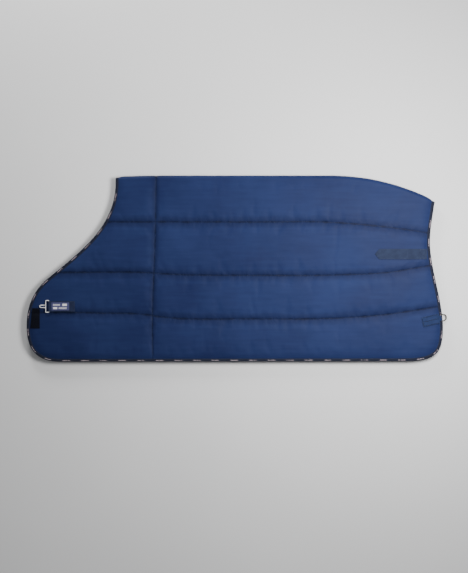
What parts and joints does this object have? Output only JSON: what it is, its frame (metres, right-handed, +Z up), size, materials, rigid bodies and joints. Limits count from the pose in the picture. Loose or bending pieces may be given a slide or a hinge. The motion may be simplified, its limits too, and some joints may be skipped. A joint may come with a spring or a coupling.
{
  "type": "turnout rug",
  "caption": "Quilted horse rug folded in half along its spine, with bound edges, a chest strap with hook and slotted plate, touch-and-close straps and leg strap rings.",
  "frame": {"origin": "middle of the folded rug's bounding box, on the plane it lies on", "axes": "+X towards the tail, +Y towards the spine fold, +Z up out of the near side"},
  "size_m": [2.079, 0.922, 0.0483],
  "materials": {
    "navy_outer": "satin",
    "navy_lining": "satin",
    "wadding": "matt",
    "binding_tape": "matt",
    "webbing": "matt",
    "hook_and_loop": "matt",
    "woven_label": "satin",
    "steel": "satin"
  },
  "bodies": {
    "off_side": {"off_outer_shell": "navy_outer", "off_filling": "wadding", "off_lining": "navy_lining", "off_binding": "binding_tape", "off_chest_strap": "webbing", "off_chest_patch": "hook_and_loop", "off_tail_strap_end": "webbing", "off_tail_pad": "hook_and_loop", "off_leg_ring_tab": "webbing", "spine_fold_shell": "navy_outer", "spine_fold_filling": "wadding", "spine_fold_lining": "navy_lining", "withers_fold_binding": "binding_tape", "tail_fold_binding": "binding_tape"},
    "near_side": {"near_outer_shell": "navy_outer", "near_filling": "wadding", "near_lining": "navy_lining", "near_binding": "binding_tape", "near_chest_strap": "webbing", "near_woven_label": "woven_label", "near_chest_patch": "hook_and_loop", "near_tail_strap_end": "webbing", "near_tail_pad": "hook_and_loop", "near_leg_ring_tab": "webbing"},
    "chest_hook": {"near_chest_hook": "steel"},
    "chest_plate": {"off_chest_plate": "steel"},
    "near_tail_flap": {"near_tail_strap": "webbing"},
    "off_tail_flap": {"off_tail_strap": "webbing"},
    "near_ring": {"near_leg_ring": "steel"},
    "off_ring": {"off_leg_ring": "steel"}
  },
  "joints": [
    {"name": "spine_fold", "type": "hinge", "parent": "off_side", "child": "near_side", "pos_m": [0, 0.44405, 0.02396], "axis": [-1, 0, 0], "range_deg": [0, 180], "deforming": ["spine_fold_shell", "spine_fold_filling", "spine_fold_lining", "withers_fold_binding", "tail_fold_binding"]},
    {"name": "chest_hook_swivel", "type": "hinge", "parent": "near_side", "child": "chest_hook", "pos_m": [-0.92846, -0.18698, 0.04461], "axis": [0, 1, 0], "range_deg": [0, 170]},
    {"name": "chest_plate_swivel", "type": "hinge", "parent": "off_side", "child": "chest_plate", "pos_m": [-0.92846, -0.18698, 0.0035], "axis": [0, -1, 0], "range_deg": [0, 170]},
    {"name": "near_tail_strap_peel", "type": "hinge", "parent": "near_side", "child": "near_tail_flap", "pos_m": [0.90114, 0.07192, 0.04351], "axis": [0, 1, 0], "range_deg": [0, 170]},
    {"name": "off_tail_strap_peel", "type": "hinge", "parent": "off_side", "child": "off_tail_flap", "pos_m": [0.90114, 0.07192, 0.00441], "axis": [0, -1, 0], "range_deg": [0, 170]},
    {"name": "near_leg_ring_swing", "type": "hinge", "parent": "near_side", "child": "near_ring", "pos_m": [1.00963, -0.24451, 0.03901], "axis": [0.225, -0.9744, 0], "range_deg": [-15, 155]},
    {"name": "off_leg_ring_swing", "type": "hinge", "parent": "off_side", "child": "off_ring", "pos_m": [1.00963, -0.24451, 0.00891], "axis": [-0.225, 0.9744, 0], "range_deg": [-15, 155]}
  ]
}
